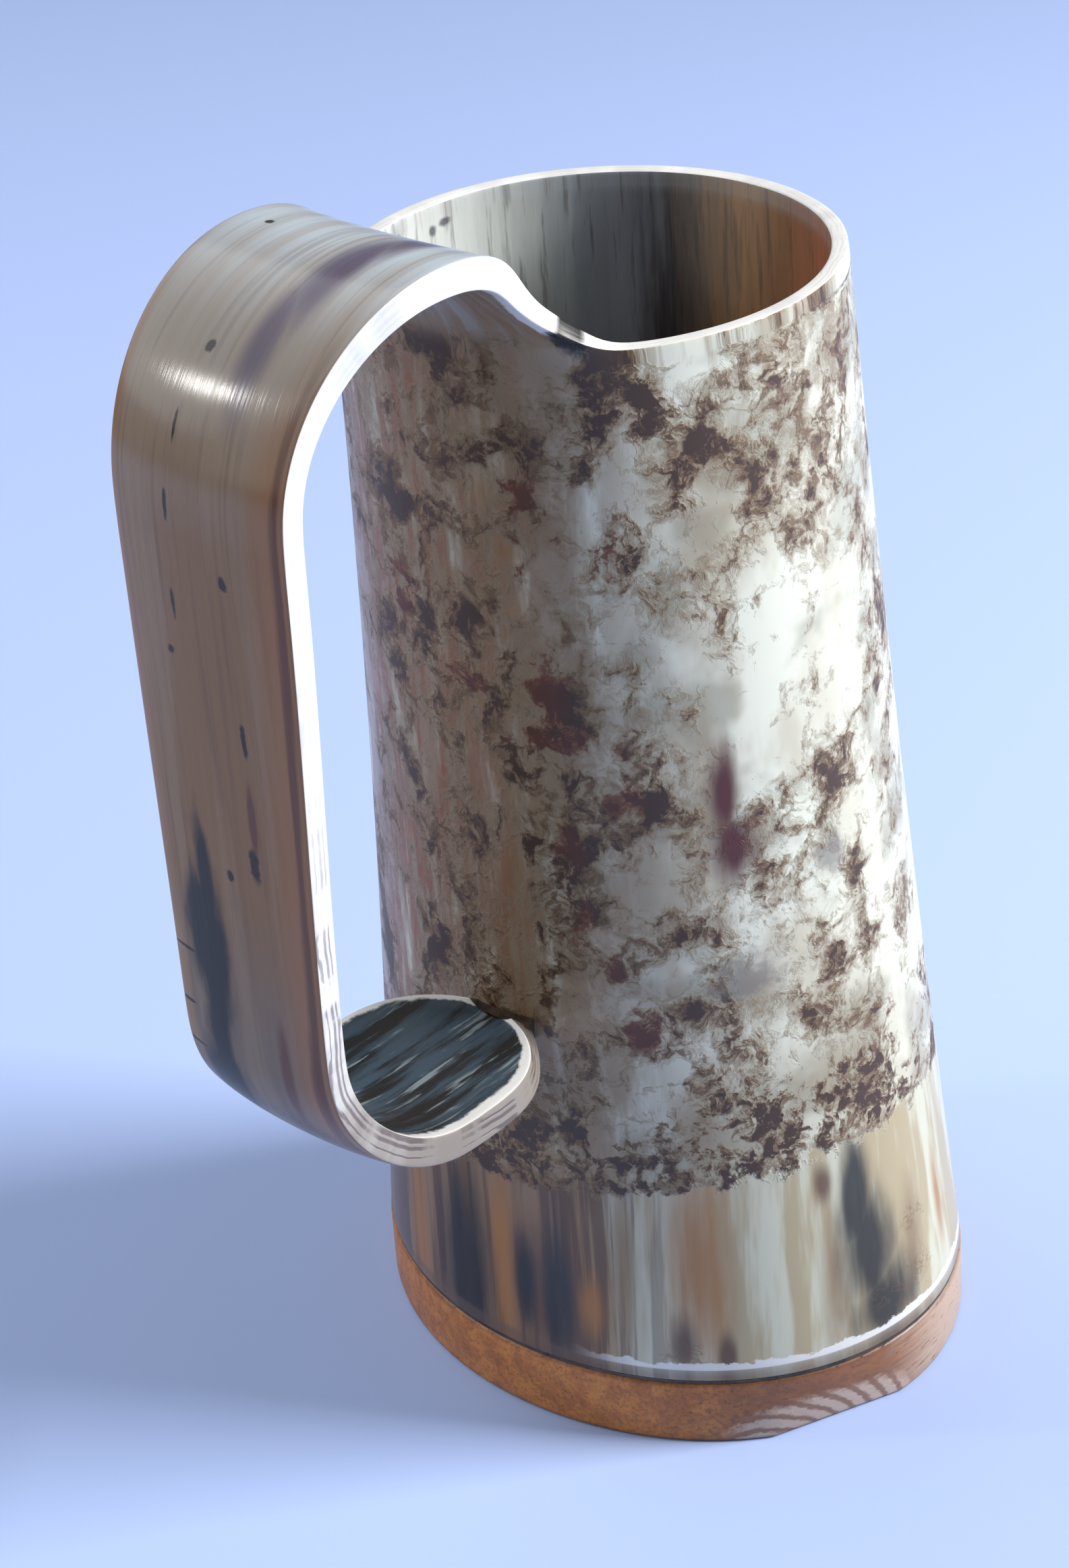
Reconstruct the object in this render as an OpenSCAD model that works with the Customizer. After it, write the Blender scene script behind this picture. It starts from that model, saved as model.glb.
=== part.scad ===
// Horn drinking mug with a strap handle bent from its own wall and a carved wooden foot.
// Z points up, the foot stands on z = 0 at the origin, and the handle points along -X.

/* [Cup] */
// Height of the drinking rim above the table
rim_h = 166; // [140:1:190]
// Thickness of the horn wall
wall = 4; // [3:0.5:5]
// Thickness of the wall at the drinking rim
lip_wall = 2.4; // [2.2:0.1:4]
// Depth below the rim over which the wall thins to it
lip_taper = 24; // [10:1:40]
// Oval foot of the horn, along X
foot_x = 78; // [70:1:90]
// Oval foot of the horn, along Y
foot_y = 92; // [80:1:104]
// Oval half way up, along X
waist_x = 72; // [66:1:80]
// Oval half way up, along Y
waist_y = 76; // [70:1:86]
// Mouth, along X
mouth_x = 68; // [62:1:76]
// Mouth, along Y
mouth_y = 65; // [60:1:76]
// How far the horn's natural curve carries the waist towards the handle
waist_shift = 2.9; // [0:0.1:5]
// How far it carries the mouth towards the handle
mouth_shift = 6.5; // [0:0.1:9]

/* [Foot] */
// Height of the wooden lip under the horn
lip_h = 11; // [8:0.5:16]
// How far the wooden plug goes up inside the horn
plug_rise = 12; // [6:1:20]
// Thickness of the resin between wood and horn
bond_t = 0.5; // [0.3:0.1:1]
// Direction of the flat carved on the lip's lower edge, from +X
flat_turn = -114; // [-180:1:180]
// Slope of that flat away from upright
flat_tilt = 16; // [5:1:40]
// Depth of that flat, measured in from the edge
flat_depth = 1.6; // [0.5:0.1:3]

/* [Handle] */
// Thickness of the strap
strap_t = 3.9; // [3:0.1:5]
// Length from the rim over which the strap thickens to that
thicken_l = 18; // [8:1:26]
// Outward lean of the strap where it leaves the rim
root_lean = 7; // [0:1:15]
// Radius of the arch next to the rim
arch_r = 20; // [16:0.5:26]
// Part of the arch bent to that radius, in degrees
arch_turn = 76; // [50:1:100]
// Radius of the arch on its outer shoulder
shoulder_r = 23.5; // [18:0.5:30]
// Straight length of the grip
grip_l = 72; // [55:1:85]
// Radius of the lower bend
bend_r = 20.5; // [14:0.5:24]
// Reach of the tab from the bend to its tip
tab_l = 21.6; // [18:0.1:24]
// Length of the rounded end of the tab
tip_l = 14.3; // [8:0.1:18]
// Width of the strap over the arch
arch_w = 33; // [26:1:38]
// Width at the top of the grip
grip_top_w = 27; // [22:1:34]
// Width at the bottom of the grip
grip_foot_w = 24; // [20:1:32]
// Width of the tab
tab_w = 30; // [24:1:36]
// How far the hand-cut strap sits to the -Y side at the arch
arch_side = 7; // [0:0.5:9]
// How far it sits to the -Y side at the tab
tab_side = 5; // [0:0.5:9]
// Where the strap leaves the rim on the -Y side
root_near = 20.5; // [19:0.5:30]
// Where it leaves the rim on the +Y side
root_far = 26; // [14:1:30]
// Rise of the strap's edges over its middle, on the grip and the tab
crown = 1.2; // [0:0.1:2]

/* [Hidden] */

facets = 72;          // sides of every oval
rim_r = 1.1;          // rounding of the drinking rim
wall_steps = 14;      // levels between plug and rim
plug_top = lip_h + plug_rise;
root_sink = 5;        // depth of the strap's root inside the wall
wall_lean = 2;        // outward lean of the wall at the rim, degrees
columns = 8;          // strips across the strap
blend_l = 14;         // length over which the strap's flare and curve at the root die out
shoulder_turn = 180 - root_lean - arch_turn;
bend_turn = 90;
edge_gap = 0.3;       // setback of the resin from the outside of the horn
bond_r = 5.5;         // radius of the resin dab at the tab's tip

horn_colour = "#cfc5ae";
wood_colour = "#a8703a";
resin_colour = "#33241a";

// ---- Oval sections of the horn ----

// Smooth curve through the foot, waist and mouth values; u runs from 0 to 1 up the horn
function through(foot, waist, mouth, u) =
    foot * (1 - u) * (1 - 2 * u) + waist * 4 * u * (1 - u) + mouth * u * (2 * u - 1);

function up(z) = (z - lip_h) / (rim_h - lip_h);

function oval(z, inset) =
    let (middle = -through(0, waist_shift, mouth_shift, up(z)),
         half_x = through(foot_x, waist_x, mouth_x, up(z)) / 2 - inset,
         half_y = through(foot_y, waist_y, mouth_y, up(z)) / 2 - inset)
    [for (i = [0 : facets - 1])
        let (turn = 360 * i / facets)
        [middle + half_x * cos(turn), half_y * sin(turn), z]];

// The inside is scraped thinner towards the rim
function ease(t) = let (c = min(1, max(0, t))) c * c * (3 - 2 * c);
function wall_at(z) = wall - (wall - lip_wall) * ease(1 - (rim_h - z) / lip_taper);

function flat_oval(z, inset) = [for (p = oval(z, inset)) [p[0], p[1]]];

// ---- Skins over rings of points ----

function ring_walls(rings, n, closed) =
    [for (k = [0 : rings - (closed ? 1 : 2)], i = [0 : n - 1])
        let (here = k * n, next = ((k + 1) % rings) * n, j = (i + 1) % n)
        each [[here + i, next + j, here + j], [here + i, next + i, next + j]]];

// An end cap laid as strips across a ring, so that a curved ring closes as a curved strip
function cap(start, n, turned) =
    [for (i = [0 : n / 2 - 2])
        let (a = start + i, b = a + 1, c = start + n - 2 - i, d = c + 1)
        each (turned ? [[a, c, b], [a, d, c]] : [[a, b, c], [a, c, d]])];

module skin(rings) {
    n = len(rings[0]);
    count = len(rings);
    ends = concat(cap(0, n, false), cap((count - 1) * n, n, true));
    polyhedron([for (r = rings) each r], concat(ring_walls(count, n, false), ends));
}

module hollow_skin(rings) {
    polyhedron([for (r = rings) each r], ring_walls(len(rings), len(rings[0]), true));
}

levels = concat([lip_h, plug_top],
    [for (k = [1 : wall_steps]) plug_top + k * (rim_h - rim_r - plug_top) / wall_steps]);

module horn_wall() {
    outside = [for (z = levels) oval(z, 0)];
    rim = [for (a = [30 : 30 : 90]) oval(rim_h - rim_r * (1 - sin(a)), rim_r * (1 - cos(a)))];
    lip = [for (a = [90 : -30 : 30]) oval(rim_h - rim_r * (1 - sin(a)), lip_wall - rim_r * (1 - cos(a)))];
    inside = [for (k = [len(levels) - 1 : -1 : 0]) oval(levels[k], wall_at(levels[k]))];
    hollow_skin(concat(outside, rim, lip, inside));
}

// ---- Strap handle ----

// A station is [x, z, heading, length so far]; headings are degrees from +X towards +Z
function end_of(path) = path[len(path) - 1];

function run(from, length, steps) =
    [for (i = [1 : steps]) let (d = length * i / steps)
        [from[0] + d * cos(from[2]), from[1] + d * sin(from[2]), from[2], from[3] + d]];

function bend(from, radius, turn, steps) =
    [for (i = [1 : steps]) let (a = turn * i / steps)
        [from[0] + radius * (sin(from[2] + a) - sin(from[2])),
         from[1] - radius * (cos(from[2] + a) - cos(from[2])),
         from[2] + a,
         from[3] + radius * a * PI / 180]];

function tip(from, length, steps) =
    [for (i = [1 : steps]) let (d = length * sin(86 * i / steps))
        [from[0] + d * cos(from[2]), from[1] + d * sin(from[2]), from[2], from[3] + d]];

root_x = -mouth_shift - mouth_x / 2 + wall / 2;
sunk = [[root_x + root_sink * sin(wall_lean), rim_h - root_sink, 90 + wall_lean, -root_sink]];
at_rim = [[root_x, rim_h, 90 + root_lean, 0]];
arch = bend(at_rim[0], arch_r, arch_turn, 10);
shoulder = bend(end_of(arch), shoulder_r, shoulder_turn, 12);
grip = run(end_of(shoulder), grip_l, 6);
lower_bend = bend(end_of(grip), bend_r, bend_turn, 9);
tab = run(end_of(lower_bend), tab_l - tip_l, 2);
tab_tip = tip(end_of(tab), tip_l, 8);
strap_path = concat(sunk, at_rim, arch, shoulder, grip, lower_bend, tab, tab_tip);

crest_s = end_of(arch)[3];
grip_top_s = end_of(shoulder)[3];
grip_foot_s = end_of(grip)[3];
tab_s = end_of(lower_bend)[3];
strap_s = end_of(tab)[3] + tip_l;

// Half width of the strap, its sideways set and its flare beside the rim
function half_w(s) = lookup(s, [[0, arch_w], [crest_s, arch_w], [grip_top_s, grip_top_w],
    [grip_foot_s, grip_foot_w], [tab_s, tab_w]]) / 2;
function side(s) = -lookup(s, [[crest_s, arch_side], [strap_s, tab_side]]);
function rounding(s) = sqrt(max(0, 1 - pow(max(0, s - strap_s + tip_l) / tip_l, 2)));
function fade(s) = pow(max(0, 1 - max(0, s) / blend_l), 2);
function near_edge(s) = side(s) - half_w(s) * rounding(s) + fade(s) * (arch_side + arch_w / 2 - root_near);
function far_edge(s) = side(s) + half_w(s) * rounding(s) + fade(s) * (arch_side - arch_w / 2 + root_far);

// The strap keeps the curve and thickness of the wall at its root and is pressed flat over the arch
function wall_drop(y) = mouth_x / 2 * (1 - sqrt(1 - pow(2 * y / mouth_y, 2)));
function hollow(s, y) = pow(max(0, 1 - max(0, s) / blend_l), 1.5) * wall_drop(y);
function strap_at(s) = lip_wall + (strap_t - lip_wall) * ease(s / thicken_l);
function crowned(s, v) = -lookup(s, [[crest_s, 0], [grip_top_s, crown]]) * v * v;

function strap_ring(station) =
    let (s = station[3], out_x = sin(station[2]), out_z = -cos(station[2]))
    [for (face = [1, -1], i = [0 : columns])
        let (v = face * (2 * i / columns - 1),
             y = (near_edge(s) * (1 - v) + far_edge(s) * (1 + v)) / 2,
             lift = (face > 0 ? strap_at(s) - strap_t / 2 : -strap_t / 2) + crowned(s, v))
        [station[0] + lift * out_x + hollow(s, y), y, station[1] + lift * out_z]];

module strap() {
    skin([for (station = strap_path) strap_ring(station)]);
}

// ---- Pieces ----

module horn_cup() {
    color(horn_colour)
        union() {
            horn_wall();
            strap();
        }
}

module lip_flat() {
    edge_x = foot_x / 2 * cos(flat_turn);
    edge_y = foot_y / 2 * sin(flat_turn);
    translate([edge_x, edge_y, 0])
        rotate([0, 0, flat_turn])
            translate([-flat_depth, 0, 0])
                rotate([0, flat_tilt, 0])
                    translate([0, -foot_x / 2, -foot_x])
                        cube([foot_x / 2, foot_x, 2 * foot_x]);
}

module wooden_foot() {
    color(wood_colour)
        union() {
            difference() {
                linear_extrude(lip_h - bond_t) polygon(flat_oval(lip_h, 0));
                lip_flat();
            }
            linear_extrude(plug_top) polygon(flat_oval(plug_top, wall + bond_t));
        }
}

module foot_bond() {
    color(resin_colour)
        difference() {
            union() {
                skin([oval(lip_h, wall), oval(plug_top, wall)]);
                translate([0, 0, lip_h - bond_t])
                    linear_extrude(bond_t) polygon(flat_oval(lip_h, edge_gap));
            }
            linear_extrude(plug_top) polygon(flat_oval(plug_top, wall + bond_t));
        }
}

module tab_bond() {
    tip_point = end_of(strap_path);
    color(resin_colour)
        difference() {
            translate([tip_point[0], -tab_side, tip_point[1] - strap_t / 2 + edge_gap])
                cylinder(h = strap_t - 2 * edge_gap, r = bond_r, $fn = 48);
            skin([for (z = levels) oval(z, 0)]);
            strap();
        }
}

horn_cup();
wooden_foot();
foot_bond();
tab_bond();
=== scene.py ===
import math

import bmesh
import bpy
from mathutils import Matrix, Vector


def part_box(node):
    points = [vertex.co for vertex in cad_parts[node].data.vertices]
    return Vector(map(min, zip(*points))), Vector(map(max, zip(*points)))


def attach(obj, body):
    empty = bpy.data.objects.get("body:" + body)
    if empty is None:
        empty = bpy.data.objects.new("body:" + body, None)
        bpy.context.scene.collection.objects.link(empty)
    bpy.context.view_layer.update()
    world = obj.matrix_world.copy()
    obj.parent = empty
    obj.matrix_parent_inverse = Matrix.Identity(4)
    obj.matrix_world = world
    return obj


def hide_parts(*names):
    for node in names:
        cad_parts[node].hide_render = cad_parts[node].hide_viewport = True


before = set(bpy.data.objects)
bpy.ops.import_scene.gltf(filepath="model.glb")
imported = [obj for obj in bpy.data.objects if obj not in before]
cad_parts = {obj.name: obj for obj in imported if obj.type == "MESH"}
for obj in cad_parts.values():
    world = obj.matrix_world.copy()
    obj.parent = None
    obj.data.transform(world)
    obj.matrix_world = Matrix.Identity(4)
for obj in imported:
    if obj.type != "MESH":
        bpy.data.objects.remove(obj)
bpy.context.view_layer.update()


# ---- Camera, table and lamps ----
# The mug stands on a plain pale table. A wide soft lamp on the right does most of the work, as a window
# would, a weaker one behind lights the rim, a small one puts the glint on the arch, and a low one fills.

bpy.ops.object.camera_add(
    location=(-0.3043, -0.2645, 0.3165),
    rotation=(math.radians(60.16), math.radians(3.49), math.radians(-48.69)),
)
camera = bpy.context.object
camera.data.lens = 75.6
camera.data.clip_start = 0.01
bpy.context.scene.camera = camera

bpy.ops.mesh.primitive_plane_add(size=6, location=(0, 0, 0))
table = bpy.context.object
table.name = "table"
table_paint = bpy.data.materials.new("table paint")
table_paint.use_nodes = True
table_shader = table_paint.node_tree.nodes["Principled BSDF"]
table_shader.inputs["Base Color"].default_value = (0.42, 0.54, 0.88, 1)
table_shader.inputs["Roughness"].default_value = 0.9
table.data.materials.append(table_paint)


def soft_lamp(name, place, target, size, watts, colour):
    """A square area lamp that points from place to target."""
    bpy.ops.object.light_add(type="AREA", location=place)
    lamp = bpy.context.object
    lamp.name = name
    lamp.rotation_euler = (Vector(target) - Vector(place)).to_track_quat("-Z", "Y").to_euler()
    lamp.data.size = size
    lamp.data.energy = watts
    lamp.data.color = colour
    return lamp


soft_lamp("window", (0.66, -0.82, 0.72), (0, 0, 0.09), 0.45, 26, (1.0, 0.98, 0.95))
soft_lamp("back", (-0.25, 0.70, 0.85), (-0.03, 0, 0.18), 1.3, 7, (0.92, 0.96, 1.0))
soft_lamp("glint", (-0.62, 0.70, 0.63), (-0.07, 0, 0.18), 0.08, 1.4, (1.0, 0.97, 0.92))
soft_lamp("left fill", (-1.1, 0.35, 0.55), (0, 0, 0.10), 0.9, 2, (1.0, 0.97, 0.94))

world = bpy.data.worlds.new("studio")
bpy.context.scene.world = world
world.use_nodes = True
world.node_tree.nodes["Background"].inputs["Color"].default_value = (0.92, 0.94, 1.0, 1)
world.node_tree.nodes["Background"].inputs["Strength"].default_value = 0.17
bpy.context.scene.view_settings.view_transform = "Standard"


# ---- The horn: cup and handle ----
# One tapered length of cattle horn, oval at the foot and nearly round at the mouth. A wide strap of its wall
# was left standing above the rim, softened with heat, bent out over an arch, run straight down as the grip
# and turned in again as a rounded tab. The outside keeps scraps of dark bark, the inside is polished.

rim_height = 0.166
wall_thickness = 0.0040
scraped_depth = 0.024
horn_foot, horn_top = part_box("horn_cup")
foot_height = horn_foot[2]
waist_reach_x = 0.036
waist_reach_y = 0.038
mouth_reach_x = 0.034
mouth_reach_y = 0.0325
waist_shift = -0.0029
mouth_shift = -0.0065
columns = 48
body_levels = 16


def along_horn(foot, waist, mouth, height):
    """Smooth value at a height, through the values at the foot, half way up and at the mouth."""
    u = (height - foot_height) / (rim_height - foot_height)
    return foot * (1 - u) * (1 - 2 * u) + waist * 4 * u * (1 - u) + mouth * u * (2 * u - 1)


def horn_middle(height):
    return along_horn(0, waist_shift, mouth_shift, height)


def horn_reach_x(height):
    return along_horn(horn_top[0], waist_reach_x, mouth_reach_x, height)


def horn_reach_y(height):
    return along_horn(horn_top[1], waist_reach_y, mouth_reach_y, height)


def on_horn(turn, height):
    """The point of the outside wall at a turn from +X, in degrees, and a height above the table."""
    angle = math.radians(turn)
    x = horn_middle(height) + horn_reach_x(height) * math.cos(angle)
    return Vector((x, horn_reach_y(height) * math.sin(angle), height))


def wall_drop(y):
    """How far the mouth's oval falls back from its leftmost point at a sideways distance y."""
    return horn_reach_x(rim_height) * (1 - math.sqrt(1 - (y / horn_reach_y(rim_height)) ** 2))


def eased(t):
    t = min(1, max(0, t))
    return t * t * (3 - 2 * t)


def extrude_row(shift, scale, centre):
    """Extrudes the selected edges by shift, then scales the new row about centre."""
    bpy.ops.mesh.extrude_region_move(TRANSFORM_OT_translate={"value": shift})
    bpy.ops.transform.resize(value=scale, center_override=centre)


bpy.ops.object.select_all(action="DESELECT")
bpy.ops.mesh.primitive_circle_add(vertices=columns, radius=1, location=(0, 0, 0))
horn = bpy.context.object
horn.name = "horn_with_handle"
bpy.ops.object.mode_set(mode="EDIT")
bpy.ops.mesh.select_mode(type="VERT")
bpy.ops.mesh.select_all(action="SELECT")
bpy.ops.transform.resize(value=(horn_reach_x(foot_height), horn_reach_y(foot_height), 1))
bpy.ops.transform.translate(value=(0, 0, foot_height))

level_rise = (rim_height - foot_height) / body_levels
for level in range(body_levels):
    low = foot_height + level * level_rise
    high = low + level_rise
    shift = (horn_middle(high) - horn_middle(low), 0, level_rise)
    scale = (horn_reach_x(high) / horn_reach_x(low), horn_reach_y(high) / horn_reach_y(low), 1)
    extrude_row(shift, scale, (horn_middle(high), 0, high))

# The strap leaves the rim between these two sides and keeps the wall's curve until the crest of the arch.
rim_tolerance = 0.0001
root_near = -0.0230
root_far = 0.0258
arch_radius = 0.0180
shoulder_radius = 0.0215
bend_radius = 0.0185
arch_turn = math.radians(76)
arch_rows = 9
grip_rows = 9
bend_rows = 8
root_lean = math.radians(7)
shoulder_turn = math.radians(180) - root_lean - arch_turn
grip_length = 0.072
tab_straight = 0.0073
tip_length = 0.0140
crest_at = arch_radius * arch_turn
grip_at = crest_at + shoulder_radius * shoulder_turn
bend_at = grip_at + grip_length
tab_at = bend_at + bend_radius * math.radians(90)
tip_at = tab_at + tab_straight
strap_end = tip_at + tip_length
strap_crown = 0.0010
wall_curve_length = 0.014
wall_curve_fade = 2.6
thicken_length = 0.018
scraped_share = 0.58
softened_edge = 0.0007

mesh = bmesh.from_edit_mesh(horn.data)
for vertex in mesh.verts:
    on_rim = vertex.co.z > rim_height - rim_tolerance
    between_roots = root_near - 0.001 < vertex.co.y < root_far + 0.001
    vertex.select = on_rim and vertex.co.x < -0.02 and between_roots
mesh.select_flush_mode()
bmesh.update_edit_mesh(horn.data)
strap_columns = sum(vertex.select for vertex in mesh.verts)


def between(length, stops):
    """Value at a length along the strap, eased between (length, value) stops."""
    for (start, first), (end, second) in zip(stops, stops[1:]):
        if length <= end:
            return first + (second - first) * eased((length - start) / (end - start))
    return stops[-1][1]


def strap_edges(length):
    """The near and far edges of the strap at a length from the rim."""
    near = between(length, [(0, root_near), (0.005, -0.0199), (crest_at, -0.0235), (grip_at, -0.0200),
                            (bend_at, -0.0177), (tab_at, -0.0203), (strap_end, -0.0200)])
    far = between(length, [(0, root_far), (0.012, 0.0110), (crest_at, 0.0092), (grip_at, 0.0070),
                           (bend_at, 0.0064), (tab_at, 0.0097), (strap_end, 0.0100)])
    past = max(0, length - tip_at) / tip_length
    middle = (near + far) / 2
    half = (far - near) / 2 * math.sqrt(max(0.0, 1 - past * past))
    return middle - half, middle + half


def strap_bow(length):
    """How far the strap's near edge stands back from its middle: the wall's curve, then a slight crown."""
    left_of_curve = max(0, 1 - length / wall_curve_length) ** wall_curve_fade
    return strap_crown + left_of_curve * (wall_drop(root_near) - strap_crown)


strap_row_lengths = []
strap_length = 0.0
strap_place = Vector((horn_middle(rim_height) - horn_reach_x(rim_height), 0, rim_height))


def lay_strap_row(step, shift):
    """Extrudes the strap by one row, moved by shift, with the width and bow it has there."""
    global strap_length, strap_place
    near, far = strap_edges(strap_length)
    new_near, new_far = strap_edges(strap_length + step)
    bow = strap_bow(strap_length + step) / strap_bow(strap_length)
    width = (new_far - new_near) / (far - near)
    strap_place = strap_place + shift
    extrude_row((shift.x, (new_near + new_far - near - far) / 2, shift.z), (bow, width, 1),
                (strap_place.x, (new_near + new_far) / 2, strap_place.z))
    strap_length += step
    strap_row_lengths.append(strap_length)


heading = math.radians(90) + root_lean
for radius, turn, rows in ((arch_radius, arch_turn, arch_rows), (shoulder_radius, shoulder_turn, arch_rows)):
    for row in range(rows):
        chord = 2 * radius * math.sin(turn / rows / 2)
        direction = heading + turn / rows / 2
        shift = Vector((chord * math.cos(direction), 0, chord * math.sin(direction)))
        lay_strap_row(radius * turn / rows, shift)
        heading += turn / rows
for row in range(grip_rows):
    lay_strap_row(grip_length / grip_rows, Vector((0, 0, -grip_length / grip_rows)))

bend_centre = strap_place + Vector((bend_radius, 0, 0))
for row in range(bend_rows):
    near, far = strap_edges(strap_length)
    strap_length += (tab_at - bend_at) / bend_rows
    new_near, new_far = strap_edges(strap_length)
    extrude_row((0, 0, 0), (1, (new_far - new_near) / (far - near), 1), (0, (near + far) / 2, 0))
    bpy.ops.transform.rotate(
        value=math.radians(90) / bend_rows, orient_axis="Y", center_override=bend_centre)
    strap_row_lengths.append(strap_length)
strap_place = bend_centre + Vector((0, 0, -bend_radius))

tip_turns = [math.radians(turn) for turn in (0, 16, 32, 48, 62, 76)]
tip_steps = [tip_length * (math.sin(b) - math.sin(a)) for a, b in zip(tip_turns, tip_turns[1:])]
for step in [tab_straight] + tip_steps:
    lay_strap_row(step, Vector((step, 0, 0)))
bpy.ops.mesh.select_all(action="SELECT")
bpy.ops.mesh.normals_make_consistent(inside=True)
bpy.ops.object.mode_set(mode="OBJECT")

# The grain map holds each point's place on the horn before the strap was bent, in millimetres, so that
# streaks run up the wall and on along the strap without a break. The edges map holds how far a point lies
# from the near and far edges of the strap. The scraped group is the share of the full thickness that is
# left, because the drinking lip is scraped thin and the strap thickens again as it leaves it.
no_edge = 0.05
unbent_places = []
edge_distances = []
scraped = horn.vertex_groups.new(name="scraped")
body_points = columns * (body_levels + 1)
for vertex in horn.data.vertices:
    point = vertex.co.copy()
    near_edge, far_edge = point.y + no_edge, no_edge - point.y
    thinned = eased(1 - (rim_height - point.z) / scraped_depth)
    if vertex.index >= body_points:
        length = strap_row_lengths[(vertex.index - body_points) // strap_columns]
        near, far = strap_edges(length)
        near_edge, far_edge = point.y - near, far - point.y
        thinned = 1 - eased(length / thicken_length)
        wall_x = horn_middle(rim_height) - horn_reach_x(rim_height) + wall_drop(point.y)
        point = Vector((wall_x, point.y, rim_height + length))
    unbent_places.extend(point * 1000)
    edge_distances.extend((near_edge * 1000, far_edge * 1000, 0))
    scraped.add([vertex.index], 1 - (1 - scraped_share) * thinned, "REPLACE")
horn.data.attributes.new("grain", "FLOAT_VECTOR", "POINT").data.foreach_set("vector", unbent_places)
horn.data.attributes.new("edges", "FLOAT_VECTOR", "POINT").data.foreach_set("vector", edge_distances)

thicken = horn.modifiers.new("wall", "SOLIDIFY")
thicken.thickness = wall_thickness
thicken.offset = -1
thicken.use_even_offset = True
thicken.vertex_group = "scraped"
thicken.material_offset = 1
thicken.material_offset_rim = 2
soften = horn.modifiers.new("cut edges", "BEVEL")
soften.width = softened_edge
soften.segments = 2
soften.limit_method = "ANGLE"
soften.angle_limit = math.radians(50)
smooth = horn.modifiers.new("smooth", "SUBSURF")
smooth.levels = 2
smooth.render_levels = 2

bark_side = bpy.data.materials.new("horn bark side")
polished_side = bpy.data.materials.new("horn polished side")
cut_edge = bpy.data.materials.new("horn cut edge")
for finish in (bark_side, polished_side, cut_edge):
    finish.use_nodes = True
    horn.data.materials.append(finish)
outside_points = len(horn.data.vertices)
bpy.ops.object.modifier_apply(modifier="wall")
# The depth map is 0 on the bark side and 1 on the polished side, for the layers that a cut edge shows.
depths = [float(vertex.index >= outside_points) for vertex in horn.data.vertices]
horn.data.attributes.new("depth", "FLOAT", "POINT").data.foreach_set("value", depths)
bpy.ops.object.modifier_apply(modifier="cut edges")
bpy.ops.object.modifier_apply(modifier="smooth")
bpy.ops.object.shade_smooth()
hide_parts("horn_cup")
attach(horn, "root")

# The horn's finishes. The bark side is cream horn under torn scraps of brown bark, sanded smooth in a band
# above the foot, where coloured streaks show. The polished side and the cut edges show the same streaks.


def add_node(tree, kind, inputs=None, **options):
    """Adds a node with its options set and its inputs filled or linked."""
    node = tree.nodes.new(kind)
    for option, value in options.items():
        setattr(node, option, value)
    for name, value in (inputs or {}).items():
        if isinstance(value, bpy.types.NodeSocket):
            tree.links.new(value, node.inputs[name])
        else:
            node.inputs[name].default_value = value
    return node


def maths(tree, operation, *values):
    return add_node(tree, "ShaderNodeMath", dict(enumerate(values)), operation=operation).outputs[0]


def times(tree, first, second):
    return maths(tree, "MULTIPLY", first, second)


def soft_step(tree, value, none, full):
    """0 at none and beyond, 1 at full and beyond, eased between."""
    return add_node(tree, "ShaderNodeMapRange", {"Value": value, "From Min": none, "From Max": full},
                    interpolation_type="SMOOTHSTEP").outputs["Result"]


def stain(tree, mask, ground, colour):
    """Colour laid over ground where the mask is 1."""
    return add_node(tree, "ShaderNodeMix", {0: mask, 6: ground, 7: colour}, data_type="RGBA").outputs[2]


def colour_run(tree, value, first, last, stops):
    """Colours that follow a value, from (value, colour) stops between first and last."""
    share = add_node(tree, "ShaderNodeMapRange",
                     {"Value": value, "From Min": first, "From Max": last}).outputs[0]
    run = add_node(tree, "ShaderNodeValToRGB", {"Fac": share})
    while len(run.color_ramp.elements) < len(stops):
        run.color_ramp.elements.new(1.0)
    for element, (place, colour) in zip(run.color_ramp.elements, stops):
        element.position = (place - first) / (last - first)
        element.color = (*colour, 1)
    return run.outputs["Color"]


def clouds(tree, position, size, detail=2.0, roughness=0.5, stretch=1.0, shift=0.0):
    """Cloudy values about 0.5, with clouds of a size in millimetres, drawn out upwards by stretch."""
    placed = add_node(tree, "ShaderNodeVectorMath",
                      {0: position, 1: (1 / size, 1 / size, 1 / size / stretch), 2: (shift, shift, shift)},
                      operation="MULTIPLY_ADD").outputs[0]
    return add_node(tree, "ShaderNodeTexNoise", {"Vector": placed, "Scale": 1.0, "Detail": detail,
                                                 "Roughness": roughness}).outputs["Fac"]


def new_group(name, inputs, output):
    """A node group with named inputs and one output; returns it with its two end nodes."""
    group = bpy.data.node_groups.new(name, "ShaderNodeTree")
    for socket_name, kind, value in inputs:
        socket = group.interface.new_socket(socket_name, in_out="INPUT", socket_type=kind)
        socket.default_value = value
    group.interface.new_socket(output, in_out="OUTPUT", socket_type="NodeSocketFloat")
    return group, group.nodes.new("NodeGroupInput").outputs, group.nodes.new("NodeGroupOutput").inputs


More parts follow.
